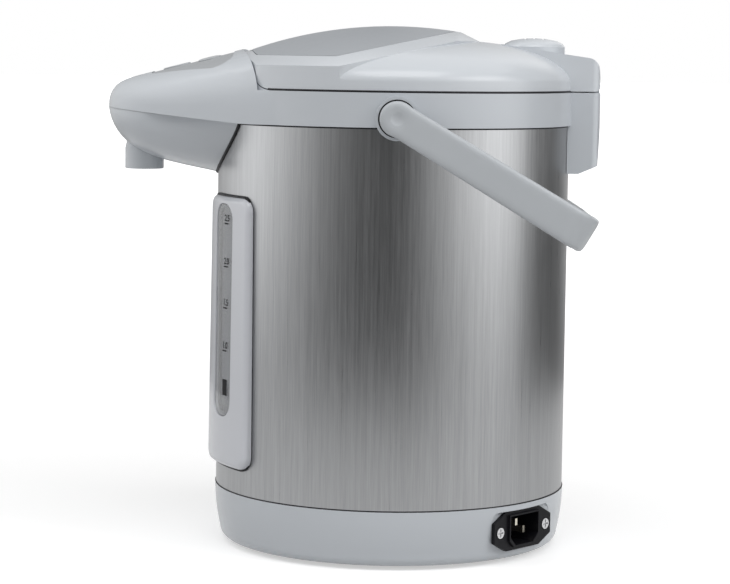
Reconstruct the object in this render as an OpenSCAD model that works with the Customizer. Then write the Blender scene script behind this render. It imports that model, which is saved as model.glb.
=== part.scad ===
// Electric thermo pot: steel jacket between a moulded base and a moulded top with a spout nose,
// hinged lid with a hand pump, swinging handle, level gauge, electric pump and mains inlet.
// The front (spout) faces -Y, the hinge +Y, and the pot stands on z = 0.

/* [Body] */
// Outer radius of the steel jacket
body_r = 100; // [96:1:106]
// Height of jacket that shows between base and collar
body_h = 207; // [190:1:230]
// Wall of the steel jacket
jacket_t = 1; // [0.8:0.1:1.4]
// Height of the base moulding
base_h = 31; // [29:1:36]
// Wall of the plastic mouldings
wall = 2.6; // [2.2:0.1:3]
// Height of the rubber ring that the pot stands on
foot_h = 2; // [1.5:0.5:4]
// Strip of base plate outside the rubber ring
foot_inset = 19; // [17:1:23]
// Width of the rubber ring
foot_w = 8; // [5:1:10]

/* [Collar and nose] */
// Height of the collar above the jacket
collar_h = 18.6; // [16:0.2:24]
// How far the collar stands out from the jacket
collar_proud = 1.8; // [1.4:0.1:2.6]
// How far the nose reaches ahead of the jacket
nose_reach = 62.5; // [58:0.5:72]
// Height of the nose tip above the collar's lower edge
tip_rise = 8.6; // [6:0.2:12]
// Height of the nose crest above the lid seam, where it meets the lid
nose_rise = 22; // [20:0.5:25]
// Fall of the nose crest per millimetre forward
nose_slope = 0.26; // [0.2:0.01:0.3]
// Depth of the lower nose shell below the collar's lower edge
nose_drop = 29.5; // [26:0.5:34]
// Radius of the outlet nozzle
nozzle_r = 11; // [9:0.5:12]
// How far the nozzle hangs below the collar's lower edge
nozzle_drop = 28; // [26:0.5:30]
// Distance of the nozzle axis behind the nose tip
nozzle_back = 20.2; // [18:0.2:26]

/* [Lid] */
// Height of the lid crown above the lid seam
crown_h = 36; // [34:0.5:40]
// Radius of the spherical crown
crown_r = 240; // [225:5:260]
// Seam between lid and collar
seam = 0.6; // [0.4:0.1:0.8]
// Setback of the lid's front edge from the jacket
lid_setback = 14; // [12:1:18]
// Radius of the lid's curved front edge
front_arc_r = 230; // [200:10:300]
// Rounding of the seam at the lid's front corners
corner_r = 6; // [4:0.5:9]
// Stroke of the hand pump plate
press_travel = 9; // [6:0.5:9]
// Stroke of the lid release bar
release_travel = 2; // [1:0.5:2]
// Radius of the steam vent cap
vent_r = 17.7; // [14:0.1:18]

/* [Hinge] */
// Half width of the hinge block
hinge_hw = 24; // [23:1:30]
// Rounding of the hinge block's upright edges
hinge_round = 5; // [3:1:7]
// Distance of the hinge pin behind the jacket
pin_back = 12.6; // [12.2:0.1:13]
// Height of the hinge pin above the lid seam
pin_rise = 3.8; // [3.7:0.1:4.2]
// Radius of the hinge pin
pin_r = 1.5; // [1.2:0.1:1.8]
// Radius of the hinge knuckles
knuckle_r = 3.1; // [2.9:0.1:3.2]

/* [Handle] */
// Distance of the grip beyond the jacket's radius, measured from the pivot
grip_clear = 24; // [23.6:0.1:28]
// How far the grip bows out between the arms
grip_bow = 10.5; // [9:0.5:12]
// Thickness of the grip
grip_t = 5; // [4:0.5:7]
// Radius of the handle hub
hub_r = 9.7; // [9:0.1:11]
// Width of the strap at the grip
strap_w = 20.6; // [17:0.1:21]
// Thickness of the handle arms
arm_t = 6; // [5:0.5:8]
// Angle of the parked handle below level
park_angle = 30.8; // [28:0.1:31]
// Depth of the handle pivot below the lid seam
pivot_drop = 13.6; // [12.4:0.2:15]

/* [Gauge] */
// Direction of the gauge, measured from the front towards +X
gauge_angle = 26; // [24:0.5:30]
// Width of the gauge cover
gauge_w = 56; // [52:1:60]
// Height of the gauge cover
gauge_h = 151; // [140:1:160]
// Height of the cover's lower edge above the base seam
gauge_lift = 15; // [14:0.5:20]
// Width of the gauge window
window_w = 25; // [20:1:28]
// Strip of cover above the window
window_above = 6; // [5:0.5:9]
// Strip of cover below the window
window_below = 28; // [20:1:34]
// Thickness of the gauge cover along its middle
cover_t = 5; // [4:0.5:6]
// Radius of the sight tube
tube_r = 5; // [4.5:0.1:5.4]

/* [Mains inlet] */
// Direction of the inlet, measured from +X towards the back
inlet_angle = 48; // [44:1:52]
// Width of the inlet flange
flange_w = 50; // [49:1:52]
// Height of the inlet flange
flange_h = 22; // [21:0.5:23]
// Distance between the inlet's two screws
inlet_pitch = 40; // [39.5:0.5:40.5]

/* [Water side] */
// Insulating gap between the jacket and the water vessel
vessel_gap = 20; // [20:1:24]
// Wall of the water vessel
vessel_t = 1; // [0.8:0.1:1.4]
// Step in from the vessel's side to its mouth
mouth_step = 7; // [6:1:10]
// Height of the vessel floor above the ground
vessel_z = 60; // [58:1:68]
// Outer radius of the pump housing
pump_r = 19; // [18:0.5:21]
// Number of impeller vanes
vanes = 6; // [4:1:8]

/* [Hidden] */
$fn = 96;
e = 0.01;
z_seam = foot_h + base_h;
z_collar = z_seam + body_h;
z_rim = z_collar + collar_h;
vessel_r = body_r - vessel_gap;
mouth_r = vessel_r - mouth_step;
grip_in = body_r + grip_clear;
z_crown = z_rim + crown_h;
collar_r = body_r + collar_proud;
fit = 0.2;
side_arc = 110;
base_round = 5.5;

// collar and the ledge that carries the vessel
ledge_z = z_collar + 3.4;
ledge_t = 2;
ledge_top = ledge_z + ledge_t;
ledge_r = vessel_r + 1.4;
lip_t = 1.2;
collar_in = body_r - 1.4;

// nose
tip_y = -(body_r + nose_reach);
tip_z = z_collar + tip_rise;
lid_front = body_r - lid_setback;
flank_y = 66;
flank_w = sqrt(collar_r * collar_r - flank_y * flank_y);
flank_taper = 0.5;
parting_slope = 0.09;
parting_y = 84;
low_w = 52.3;
low_taper = 0.22;
low_slope = 0.2;
nozzle_y = tip_y + nozzle_back;
nozzle_low = z_collar - nozzle_drop;

// lid
lid_r = collar_r - seam;
lid_z = z_rim + seam;
arc_y = front_arc_r - lid_front;
fan_y = -50;
fan_r = body_r - 16;
fan_side = body_r - 11.5;
rim_w = 5;
deck_z = lid_z + 0.2;
deck_t = 2;
deck_top = deck_z + deck_t;
drum_low = deck_z - 9;
seal_z = ledge_top + lip_t + 0.3;
seal_r = mouth_r + 6.5;
dish_r = mouth_r - 5;
bellows_top = z_crown - 10.6;
vent_y = body_r - 20.7;
vent_z = z_rim + 20.8;

// hinge
pin_y = body_r + pin_back;
pin_z = z_rim + pin_rise;
ear_in = 12;
ear_out = 20;
block_back = pin_y + knuckle_r + 0.2;
block_low = z_collar - 27;

// handle
pivot_z = z_rim - pivot_drop;
arm_in = collar_r + 4.2;
boss_r = hub_r + 2.1;
pivot_r = 4;
pivot_end = arm_in + arm_t - 2.2;
run_fit = 0.07;

// gauge and pipes
gauge_dir = gauge_angle - 90;
gauge_z = z_seam + gauge_lift;
window_z = gauge_z + window_below;
window_h = gauge_h - window_above - window_below;
cover_edge = 1.4;
cover_arc = 58;
tube_at = body_r - 11.5;
tube_x = tube_at * cos(gauge_dir);
tube_y = tube_at * sin(gauge_dir);
tube_low = 38;
tube_top = z_collar - 28;
pipe_z = z_collar - 8;
pipe_r = 5;
pipe_bore = 3.5;
bend_r = 11;
pipe_run = norm([tube_x, tube_y - nozzle_y]);
pipe_dir = atan2(nozzle_y - tube_y, -tube_x);

// buttons on the nose
panel_wide = 46;
panel_narrow = 23;
panel_back = lid_front + 4.5;
panel_front = body_r + 37;
key_sink = 0.5;
overlay_t = 1.1;
slope_angle = atan(nose_slope);
keys = [[0, body_r + 24, 8], [-17, body_r + 5, 6], [17, body_r + 5, 6]];
key_travel = 1;
key_len = 4.6;

// base
plate_t = 2.4;
plate_r = body_r - 11;
lip_r = plate_r - 11;
lip_h = 2.2;
screw_at = plate_r - 7;
foot_r = plate_r - foot_inset - foot_w;
inlet_z = z_seam - 14.5;
inlet_face = body_r - 3.2;
flange_t = 2.2;
pump_at = tube_at - pump_r - 1.8;
pump_x = pump_at * cos(gauge_dir);
pump_y = pump_at * sin(gauge_dir);
hose_r = 7.5;
heater_r = pump_at - hose_r - 4;
motor_z = foot_h + plate_t + 1.6;
housing_z = motor_z + 16;
housing_h = 14;
board_lift = 7.6;

// ---------- shared shapes ----------

module disc(r, z0, z1) {
  translate([0, 0, z0]) cylinder(r = r, h = z1 - z0);
}

module ring(r_in, r_out, z0, z1) {
  difference() {
    disc(r_out, z0, z1);
    disc(r_in, z0 - 1, z1 + 1);
  }
}

// A rounded rectangle, centred, made of two squares and four discs
module rounded(w, h, r) {
  square([w - 2 * r, h], center = true);
  square([w, h - 2 * r], center = true);
  for (sx = [-1, 1]) {
    for (sy = [-1, 1]) {
      translate([sx * (w / 2 - r), sy * (h / 2 - r)]) circle(r = r, $fn = 32);
    }
  }
}

// A cylinder that lies along X, from x0 to x1
module x_rod(r, x0, x1, y, z) {
  translate([x0, y, z]) rotate([0, 90, 0]) cylinder(r = r, h = x1 - x0);
}

// A side outline given as [y, z] points, extruded along X
module side_prism(points, half) {
  rotate([90, 0, 90]) translate([0, 0, -half]) linear_extrude(2 * half) polygon(points);
}

// ---------- nose form ----------

// 1 along the nose, falling to 0 at its tip
function tip_cap(s, k, m) = pow(max(0, 1 - pow(max(0, s), k)), 1 / m);
function signed_pow(v, p) = sign(v) * pow(abs(v), p);
function reach(y) = (-y - 80) / (-tip_y - 80);
function part_z(y) = z_collar + parting_slope * max(0, -y - parting_y);
function top_w(y) = (flank_w - flank_taper * (-y - flank_y)) * tip_cap(reach(y), 8, 2);
function top_line(y) = z_rim + nose_rise - nose_slope * (-y - lid_front);
function top_z(y) = tip_z + (top_line(y) - tip_z) * tip_cap(reach(y), 20, 2);
function low_line(y) = z_collar - nose_drop + low_slope * (-y - body_r);
function low_z(y) = tip_z - (tip_z - low_line(y)) * tip_cap(reach(y), 7, 1.8);
function under_w(y) = min(top_w(y), (low_w - low_taper * (-y - parting_y)) * tip_cap(reach(y), 8, 2));
ring_count = 22;
arc_count = 26;
nose_root = -56;
low_root = -78;
function bulge(y) = 2.2 + 0.95 * min(1, max(0, 1 - reach(y)));
function belly(y) = 1.3 + 0.9 * min(1, max(0, 1.5 * reach(y)));

// Half of a nose: arched sections from root to tip; up = 1 is the upper half, -1 the lower.
// inset shrinks it evenly, and floor lifts its flat side off the parting plane.
module nose_half(up, inset, floor) {
  root = up > 0 ? nose_root : low_root;
  end = tip_y + inset;
  rings = [for (i = [0:ring_count])
    let (y = i == ring_count ? end : root + (end - root) * sin(90 * i / ring_count),
      w = max(0.2, (up > 0 ? top_w(y) : under_w(y)) - inset),
      base = part_z(y) + up * floor,
      h = max(0.2, (up > 0 ? top_z(y) - base : base - low_z(y)) - inset))
    [for (j = [0:arc_count])
      let (a = 180 * j / arc_count, m = 2 / (up > 0 ? bulge(y) : belly(y)))
      [w * signed_pow(cos(a), m), y, base + up * h * pow(sin(a), m)]]];
  n = arc_count + 1;
  flip = up > 0 ? [0, 1, 2] : [0, 2, 1];
  walls = [for (i = [0:ring_count - 1])
    for (j = [0:n - 1])
      let (k = (j + 1) % n)
      each [[i * n + j, (i + 1) * n + j, (i + 1) * n + k], [i * n + j, (i + 1) * n + k, i * n + k]]];
  root_cap = [for (j = [0:n - 1]) j];
  tip_face = [for (j = [n - 1:-1:0]) ring_count * n + j];
  faces = concat([root_cap, tip_face], walls);
  turned = up > 0 ? faces : [for (f = faces) [for (i = [len(f) - 1:-1:0]) f[i]]];
  polyhedron([for (r = rings) each r], turned, convexity = 4);
}

// Plan of the lid: the collar circle cut by the curved front edge, grown by g
module lid_plan(r, g) {
  intersection() {
    circle(r = r);
    translate([0, arc_y]) circle(r = front_arc_r + g, $fn = 180);
  }
}

// Plan of the keypad overlay
module key_plan(g) {
  hull() {
    for (sx = [-1, 1]) {
      translate([sx * (panel_wide - 8), -panel_back - 8]) circle(r = 8 + g, $fn = 24);
      translate([sx * (panel_narrow - 8), -panel_front + 8]) circle(r = 8 + g, $fn = 24);
    }
  }
}

// Fall of the nose surface at x from the crest, and its sideways tilt there
function across(x, y) = pow(abs(x) / top_w(-y), bulge(-y));
function surface_fall(x, y) = (top_line(-y) - part_z(-y)) * (1 - pow(1 - across(x, y), 1 / bulge(-y)));
function side_tilt(x, y) = x == 0 ? 0 : sign(x) * atan((top_line(-y) - part_z(-y)) * across(x, y) / abs(x)
  * pow(1 - across(x, y), 1 / bulge(-y) - 1));

// Frame that stands square on the nose surface at x, y ahead of the axis, sunk by depth
module on_nose(x, y, depth) {
  translate([x, -y, top_line(-y) - surface_fall(x, y)]) rotate([slope_angle, 0, 0]) rotate([0, side_tilt(x, y), 0])
    translate([0, 0, -depth]) children();
}

// Frame of the flat circuit board under the crest
module on_board(x, y) {
  translate([x, -y, top_line(-y)]) rotate([slope_angle, 0, 0]) translate([0, 0, -board_depth]) children();
}

// ---------- base ----------

module foot_ring() {
  color("dimgray") ring(foot_r, foot_r + foot_w, 0, foot_h + 1.2);
}

module base_plate() {
  color("gainsboro") difference() {
    union() {
      disc(plate_r - fit, foot_h, foot_h + plate_t);
      translate([pump_x, pump_y, 0]) ring(10, 14, foot_h + plate_t - e, motor_z);
      for (p = board_posts) {
        translate([p[0], p[1], foot_h + plate_t - e]) cylinder(r = 3, h = board_lift + e, $fn = 24);
      }
    }
    ring(foot_r - 0.05, foot_r + foot_w + 0.05, foot_h - 1, foot_h + 1.2);
    for (a = [0:20:340]) {
      rotate(a) translate([foot_r - 28, -1.5, foot_h - 1]) cube([18, 3, plate_t + 2]);
    }
    for (a = [45:90:315]) {
      rotate(a) translate([screw_at, 0, 0]) {
        disc(3.2, foot_h - 1, foot_h + 1.5);
        disc(1.6, foot_h, foot_h + plate_t + 1);
      }
    }
  }
}
board_mid = [-40, 16];
board_w = 72;
board_d = 52;
board_posts = [for (sx = [-1, 1]) for (sy = [-1, 1])
  board_mid + [sx * (board_w / 2 - 10), sy * (board_d / 2 - 8)]];

module base_screws() {
  color("silver") for (a = [45:90:315]) {
    rotate(a) translate([screw_at, 0, 0]) {
      difference() {
        disc(3, foot_h + 0.2, foot_h + 1.5);
        translate([-2.2, -0.4, foot_h]) cube([4.4, 0.8, 0.8]);
        translate([-0.4, -2.2, foot_h]) cube([0.8, 4.4, 0.8]);
      }
      disc(1.5, foot_h + 1.5 - e, foot_h + plate_t + 2);
    }
  }
}

// Radius of the base at height z: upright at the seam, and drawn in below it by a wide arc
function base_side(z) = body_r + 0.4 - (z_seam - z) * (z_seam - z) / (2 * side_arc);

// Outer line of the base from its lower edge to the seam, with a rounded corner at the foot
function base_line() = let (top = foot_h + base_round, r = base_side(top) - base_round) concat(
  [for (a = [-90:15:0]) [r + base_round * cos(a), top + base_round * sin(a)]],
  [for (i = [1:8]) let (z = top + (z_seam - top) * i / 8) [base_side(z), z]]);

module inlet_frame() {
  rotate(inlet_angle) translate([inlet_face, 0, inlet_z]) rotate([90, 0, 90]) children();
}

module base_shell() {
  color("silver") difference() {
    union() {
      rotate_extrude() polygon(concat(base_line(), [[body_r - jacket_t - fit, z_seam],
        [body_r - jacket_t - fit, z_seam + 8], [body_r - jacket_t - fit - wall, z_seam + 8],
        [body_r - jacket_t - fit - wall, z_seam - 2], [body_r - 0.6 - wall, z_seam - 6],
        [body_r - 0.6 - wall, foot_h + 18], [body_r - 3 - wall, foot_h + 7],
        [plate_r - 2, foot_h + plate_t + lip_h], [lip_r, foot_h + plate_t + lip_h],
        [lip_r, foot_h + plate_t], [plate_r, foot_h + plate_t], [plate_r, foot_h]]));

      // flat pad behind the mains inlet
      intersection() {
        rotate_extrude() polygon(concat([[60, foot_h + plate_t + 2]], base_line(), [[60, z_seam]]));
        inlet_frame() translate([0, 0, -wall - 2]) linear_extrude(wall + 2)
          square([flange_w + 4, 26], center = true);
      }
    }
    inlet_frame() linear_extrude(20) rounded(flange_w + 0.6, flange_h + 0.6, 5);
    inlet_frame() translate([0, 0, -20]) linear_extrude(40)
      square([socket_w + 0.4, socket_h + 0.4], center = true);
    // room for the pump motor beside the lip
    translate([pump_x, pump_y, 0]) disc(16, foot_h + plate_t - 1, foot_h + plate_t + lip_h + 1);
    for (s = [-1, 1]) {
      inlet_frame() translate([s * inlet_pitch / 2, 0, -wall - 4]) cylinder(r = 1.55, h = wall + 8, $fn = 24);
    }
    for (a = [45:90:315]) {
      rotate(a) translate([screw_at, 0, 0]) disc(1.5, foot_h, foot_h + plate_t + 2);
    }
  }
}

// ---------- mains inlet ----------

socket_w = 27;
socket_h = 19;
socket_depth = 19;
cavity_depth = 17;

module socket_plan(w, h, c) {
  polygon([[-w / 2, h / 2], [w / 2, h / 2], [w / 2, -h / 2 + c], [w / 2 - c, -h / 2],
    [-w / 2 + c, -h / 2], [-w / 2, -h / 2 + c]]);
}

module inlet_socket() {
  color("black") difference() {
    union() {
      inlet_frame() linear_extrude(flange_t) intersection() {
        rounded(flange_w, flange_h, 4.5);
        polygon([for (a = [0:3], s = [-1, 1])
          let (q = [[1, 1], [-1, 1], [-1, -1], [1, -1]][a], n = a % 2 == 0 ? s : -s)
          n < 0 ? [q[0] * flange_w / 2, q[1] * 5.5] : [q[0] * 14.5, q[1] * flange_h / 2]]);
      }
      inlet_frame() translate([0, 0, -socket_depth]) linear_extrude(socket_depth + e)
        socket_plan(socket_w, socket_h, 0.4);
      inlet_frame() linear_extrude(flange_t + 1.4) socket_plan(socket_w - 0.6, socket_h - 0.6, 4);
    }
    inlet_frame() translate([0, 0, flange_t + 1.4 - cavity_depth]) linear_extrude(cavity_depth + 1)
      socket_plan(24.4, 16.4, 4.6);
    for (s = [-1, 1]) {
      inlet_frame() translate([s * inlet_pitch / 2, 0, -1]) cylinder(r = 1.6, h = flange_t + 2, $fn = 24);
      inlet_frame() translate([s * inlet_pitch / 2, 0, flange_t - 1.2]) cylinder(r = 3.2, h = 4, $fn = 24);
    }
  }
}

// Three blades; they start in the socket's back and stop short of its mouth
module inlet_pins() {
  color("gold") for (p = [[-7, -2], [7, -2], [0, 3]]) {
    inlet_frame() translate([p[0] - 1, p[1] - 2, flange_t + 1.4 - cavity_depth]) cube([2, 4, 11]);
  }
}

module inlet_screws() {
  color("silver") for (s = [-1, 1]) {
    inlet_frame() translate([s * inlet_pitch / 2, 0, 0]) {
      difference() {
        disc(3, flange_t - 1.2, flange_t + 0.4);
        translate([-2.2, -0.4, flange_t - 0.4]) cube([4.4, 0.8, 2]);
        translate([-0.4, -2.2, flange_t - 0.4]) cube([0.8, 4.4, 2]);
      }
      disc(1.5, -wall - 1.6, flange_t - 1.2 + e);
    }
  }
}

// ---------- jacket and gauge ----------

module gauge_frame_at() {
  rotate(gauge_dir) translate([body_r, 0, gauge_z + gauge_h / 2]) rotate([90, 0, 90]) children();
}

// A plate that wraps the jacket between two radii, with the outline given as a child
module wrapped(r_in, r_out) {
  intersection() {
    gauge_frame_at() translate([0, 0, -40]) linear_extrude(60) children();
    ring(r_in, r_out, z_seam, z_collar);
  }
}

module window_at() {
  translate([0, window_z + window_h / 2 - gauge_z - gauge_h / 2]) children();
}

module jacket() {
  color("lightsteelblue") difference() {
    ring(body_r - jacket_t, body_r, z_seam, ledge_z - fit);
    gauge_frame_at() translate([0, 0, -12]) linear_extrude(24) window_at()
      rounded(window_w - 6, window_h - 8, 5);
    pipe_place() translate([6, 0, pipe_z]) rotate([0, 90, 0]) cylinder(r = pipe_r + 1, h = 30, $fn = 32);
  }
}

module gauge_frame() {
  color("black") wrapped(body_r, body_r + 1) difference() {
    rounded(gauge_w + 2, gauge_h + 2, 9);
    rounded(gauge_w, gauge_h, 8);
  }
}

// Crown of the cover: thick along its middle, thin at its upright edges and ends
module cover_crown(drop) {
  intersection() {
    rotate(gauge_dir) translate([body_r + cover_t - cover_arc, 0, gauge_z])
      cylinder(r = cover_arc - drop, h = gauge_h, $fn = 160);
    rotate(gauge_dir) translate([0, 0, gauge_z]) rotate([90, 0, 0]) translate([0, 0, -gauge_w])
      linear_extrude(2 * gauge_w) polygon([[0, 0], [body_r + cover_edge, 0], [body_r + cover_t - drop, 5],
        [body_r + cover_t - drop, gauge_h - 5], [body_r + cover_edge, gauge_h], [0, gauge_h]]);
  }
}

module gauge_cover() {
  color("white") difference() {
    intersection() {
      wrapped(body_r, body_r + cover_t + 1) rounded(gauge_w, gauge_h, 8);
      cover_crown(0);
    }
    wrapped(body_r - 1, body_r + cover_t + 2) window_at() rounded(window_w, window_h, 9);
  }
}

module gauge_lens() {
  color("lightcyan") intersection() {
    wrapped(body_r + 0.2, body_r + cover_t) window_at() rounded(window_w, window_h, 9);
    cover_crown(1);
  }
}

module gauge_tube() {
  color("azure") translate([tube_x, tube_y, 0]) ring(tube_r - 1.2, tube_r, tube_low, tube_top);
}

// ---------- pipes ----------

module pipe_place() {
  translate([tube_x, tube_y, 0]) rotate(pipe_dir) children();
}

// A quarter bend from pointing down at x = 0 to pointing along +X at height h
module quarter_bend(r) {
  translate([bend_r, 0, -bend_r]) rotate([-90, 0, 0]) rotate([0, 0, 180]) rotate_extrude(angle = 90, $fn = 64)
    translate([bend_r, 0]) circle(r = r, $fn = 32);
}

module pipe_run_shape(r, top, end) {
  translate([0, 0, top]) cylinder(r = r, h = pipe_z - bend_r - top, $fn = 32);
  translate([0, 0, pipe_z]) quarter_bend(r);
  translate([bend_r, 0, pipe_z]) rotate([0, 90, 0]) cylinder(r = r, h = pipe_run - 2 * bend_r, $fn = 32);
  translate([pipe_run, 0, pipe_z]) mirror([1, 0, 0]) quarter_bend(r);
  translate([pipe_run, 0, end]) cylinder(r = r, h = pipe_z - bend_r - end, $fn = 32);
}

module outlet_pipe() {
  color("gainsboro") pipe_place() difference() {
    union() {
      pipe_run_shape(pipe_r, tube_top, nozzle_low + 2);
      disc(tube_r + 1.8, tube_top - 8, tube_top + 1);
    }
    pipe_run_shape(pipe_bore, tube_top - 1, nozzle_low + 1);
    disc(tube_r, tube_top - 9, tube_top);
  }
}

// ---------- top housing ----------

module well() {
  intersection() {
    disc(collar_in, ledge_top, z_rim + 1);
    translate([0, 0, ledge_top]) linear_extrude(60) translate([0, arc_y])
      circle(r = front_arc_r + seam, $fn = 180);
  }
}

// Keeps what lies inside the hinge block's plan, which is rounded at the back
module rounded_prism(back) {
  intersection() {
    children();
    translate([0, back - 40, z_collar - 40]) linear_extrude(110) rounded(2 * hinge_hw, 80, hinge_round);
  }
}

module hinge_block() {
  rounded_prism(block_back) side_prism([[60, z_rim], [block_back - 0.6, z_rim], [block_back, z_rim - 1],
    [block_back, z_collar], [block_back - 1.2, block_low + 4.6], [block_back - 12, block_low],
    [60, block_low]], hinge_hw);
}

module hinge_ears() {
  for (s = [-1, 1]) {
    mid = s * (ear_in + ear_out) / 2;
    half = (ear_out - ear_in) / 2;
    x_rod(knuckle_r, mid - half, mid + half, pin_y, pin_z);
    translate([mid - half, pin_y - knuckle_r, z_rim - 2])
      cube([2 * half, 2 * knuckle_r - 0.6, pin_z - z_rim + 2]);
  }
}

module key_holes(extra, depth) {
  for (k = keys) {
    on_nose(k[0], k[1], depth) cylinder(r = k[2] + extra, h = depth + 6, $fn = 48);
  }
}

module top_housing() {
  color("silver") difference() {
    union() {
      difference() {
        union() {
          rotate_extrude() polygon([[ledge_r, ledge_z], [body_r + fit, ledge_z], [body_r + fit, z_collar],
            [collar_r, z_collar], [collar_r, z_rim], [collar_in, z_rim], [collar_in, ledge_top],
            [ledge_r, ledge_top]]);
          nose_half(1, 0, 0);
          hinge_block();
          for (s = [-1, 1]) {
            x_rod(boss_r, s > 0 ? collar_in : -arm_in + 0.3, s > 0 ? arm_in - 0.3 : -collar_in, 0, pivot_z);
          }
        }
        well();
        translate([0, 0, z_rim]) linear_extrude(60) lid_plan(collar_r + 5, seam);
        disc(body_r + fit, z_collar - 60, ledge_z);
        disc(ledge_r, ledge_z - 1, ledge_top + 1);
        // hollow of the nose, behind its own bulkhead
        difference() {
          nose_half(1, wall, wall);
          linear_extrude(400) lid_plan(collar_r, seam + wall);
        }
        // pocket for the keypad overlay
        difference() {
          translate([0, 0, z_rim]) linear_extrude(60) key_plan(0.15);
          nose_half(1, key_sink + overlay_t, 0);
        }
      }
      hinge_ears();
      corner_ramp(0);
      // posts under the circuit board, cut to its slope
      difference() {
        for (p = key_posts) {
          translate([p[0], -p[1], part_z(-p[1]) + wall - 0.2]) cylinder(r = 2.5, h = 25, $fn = 24);
        }
        on_board(0, key_board_y) translate([-60, -60, 0]) cube([120, 120, 60]);
      }
    }
    x_rod(pin_r, -ear_out - 1, ear_out + 1, pin_y, pin_z);
    for (s = [-1, 1]) {
      x_rod(pivot_r, s > 0 ? body_r + 0.4 : -arm_in - 1, s > 0 ? arm_in + 1 : -body_r - 0.4, 0, pivot_z);
    }
    key_holes(0.3, 8);
    light_holes(1.5);
  }
}

module light_holes(r) {
  for (s = [-1, 1]) {
    on_nose(s * 7, body_r + 5, 6) cylinder(r = r, h = 12, $fn = 24);
  }
}

// Board under the keys, parallel to the slope
board_depth = 14;
board_run = [50, 44];
key_board_y = lid_front + seam + wall + 28;
key_posts = [[-20, body_r - 4], [20, body_r - 4], [-14, body_r + 28], [14, body_r + 28]];

module control_panel() {
  color("darkgray") difference() {
    intersection() {
      nose_half(1, key_sink, 0);
      translate([0, 0, z_rim]) linear_extrude(60) key_plan(0);
    }
    nose_half(1, key_sink + overlay_t, 0);
    key_holes(0.3, 8);
    light_holes(1.5);
  }
}

module panel_lights() {
  color("tomato") for (s = [-1, 1]) {
    on_nose(s * 7, body_r + 5, 3.2) cylinder(r = 1.45, h = 2.9, $fn = 24);
  }
}

module control_board() {
  color("darkgreen") on_board(0, key_board_y) translate(-board_run / 2) cube([each board_run, 1.6]);
  color("dimgray") for (k = keys) {
    room = board_depth - 1.6 - key_len - key_travel - 0.6 - surface_fall(k[0], k[1]);
    on_board(k[0], k[1]) translate([-3, -3, 1.6 - e]) cube([6, 6, room]);
  }
}

// A key cap: flush dome, with a flange inside the nose that keeps it in
module key_cap(i) {
  r = keys[i][2];
  on_nose(keys[i][0], keys[i][1], key_len) {
    cylinder(r = r, h = key_len - 0.1, $fn = 48);
    translate([0, 0, key_len - 0.1 - e]) cylinder(r1 = r, r2 = r - 0.8, h = 0.35, $fn = 48);
    cylinder(r = r + 1, h = 1.2, $fn = 48);
  }
}

module dispense_button() {
  color("lightgray") key_cap(0);
}

module reboil_button() {
  color("lightgray") key_cap(1);
}

module lock_button() {
  color("lightgray") key_cap(2);
}

module nose_lower() {
  color("silver") difference() {
    nose_half(-1, 0, 0.05);
    nose_half(-1, wall - 0.2, -4);
    disc(body_r + 0.4, 0, 400);
    disc(collar_r + 0.05, z_collar - 0.05, 400);
    translate([0, nozzle_y, 0]) disc(nozzle_r + 0.1, 0, 400);
  }
}

module nozzle() {
  color("silver") translate([0, nozzle_y, 0]) {
    ring(nozzle_r - 2.4, nozzle_r, nozzle_low, nozzle_low + 12);
    ring(pipe_r, nozzle_r - 2.4 + e, nozzle_low + 4, nozzle_low + 6);
  }
}

// ---------- water side ----------

// The vessel is seam-welded from three drawn parts: floor pan, side wall and neck
vessel_in = vessel_r - vessel_t;
pan_top = vessel_z + vessel_t;
pan_r = vessel_r - 8 + 2.5 * vessel_t;
neck_z = ledge_z - 12.4;

module vessel_pan() {
  color("whitesmoke") difference() {
    union() {
      rotate_extrude() polygon([[0, vessel_z], [vessel_r - 8, vessel_z], [pan_r, pan_top], [0, pan_top]]);
      translate([pump_x, pump_y, 0]) disc(5, vessel_z - 10, vessel_z + 0.5);
    }
    translate([pump_x, pump_y, 0]) disc(3.5, vessel_z - 11, vessel_z + 3);
  }
}

module vessel() {
  color("whitesmoke") rotate_extrude() polygon([[vessel_r - 8.2, pan_top], [pan_r, pan_top],
    [vessel_r - 3, vessel_z + 2], [vessel_r, vessel_z + 8], [vessel_r, neck_z], [vessel_in, neck_z],
    [vessel_in, vessel_z + 8.4], [vessel_in - 3, vessel_z + 2.8]]);
}

module vessel_neck() {
  shoulder = ledge_z - 3;
  color("whitesmoke") rotate_extrude() polygon([[vessel_in, neck_z], [vessel_r, neck_z],
    [vessel_r, neck_z + 0.4], [mouth_r + vessel_t + 1, shoulder], [mouth_r + vessel_t, ledge_z],
    [mouth_r + vessel_t, ledge_top + lip_t], [mouth_r, ledge_top + lip_t], [mouth_r, ledge_z],
    [mouth_r + 0.8, shoulder - 0.4]]);
  // rim that hangs on the ledge, trimmed at the front bulkhead
  color("whitesmoke") intersection() {
    ring(mouth_r, ledge_r + 3.4, ledge_top, ledge_top + lip_t);
    translate([0, arc_y, ledge_top]) cylinder(r = front_arc_r + seam - fit, h = 5, $fn = 180);
  }
}

element_at = heater_r - 12;
element_end = 22;
module heater() {
  color("silver") {
    disc(heater_r, vessel_z - 4, vessel_z);
    translate([0, 0, vessel_z - 6]) rotate_extrude() translate([element_at, 0]) circle(r = 3.2, $fn = 32);
    for (y = [-5, 5]) {
      x_rod(2, -element_at - element_end, -element_at, y, vessel_z - 6);
    }
  }
}

module thermostat() {
  color("black") {
    disc(11, vessel_z - 12, vessel_z - 4);
    ring(9, 15, vessel_z - 6, vessel_z - 4);
    for (s = [-1, 1]) {
      translate([-1, s * 5 - 3, vessel_z - 18]) cube([0.8, 6, 6.5]);
    }
  }
}

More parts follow.
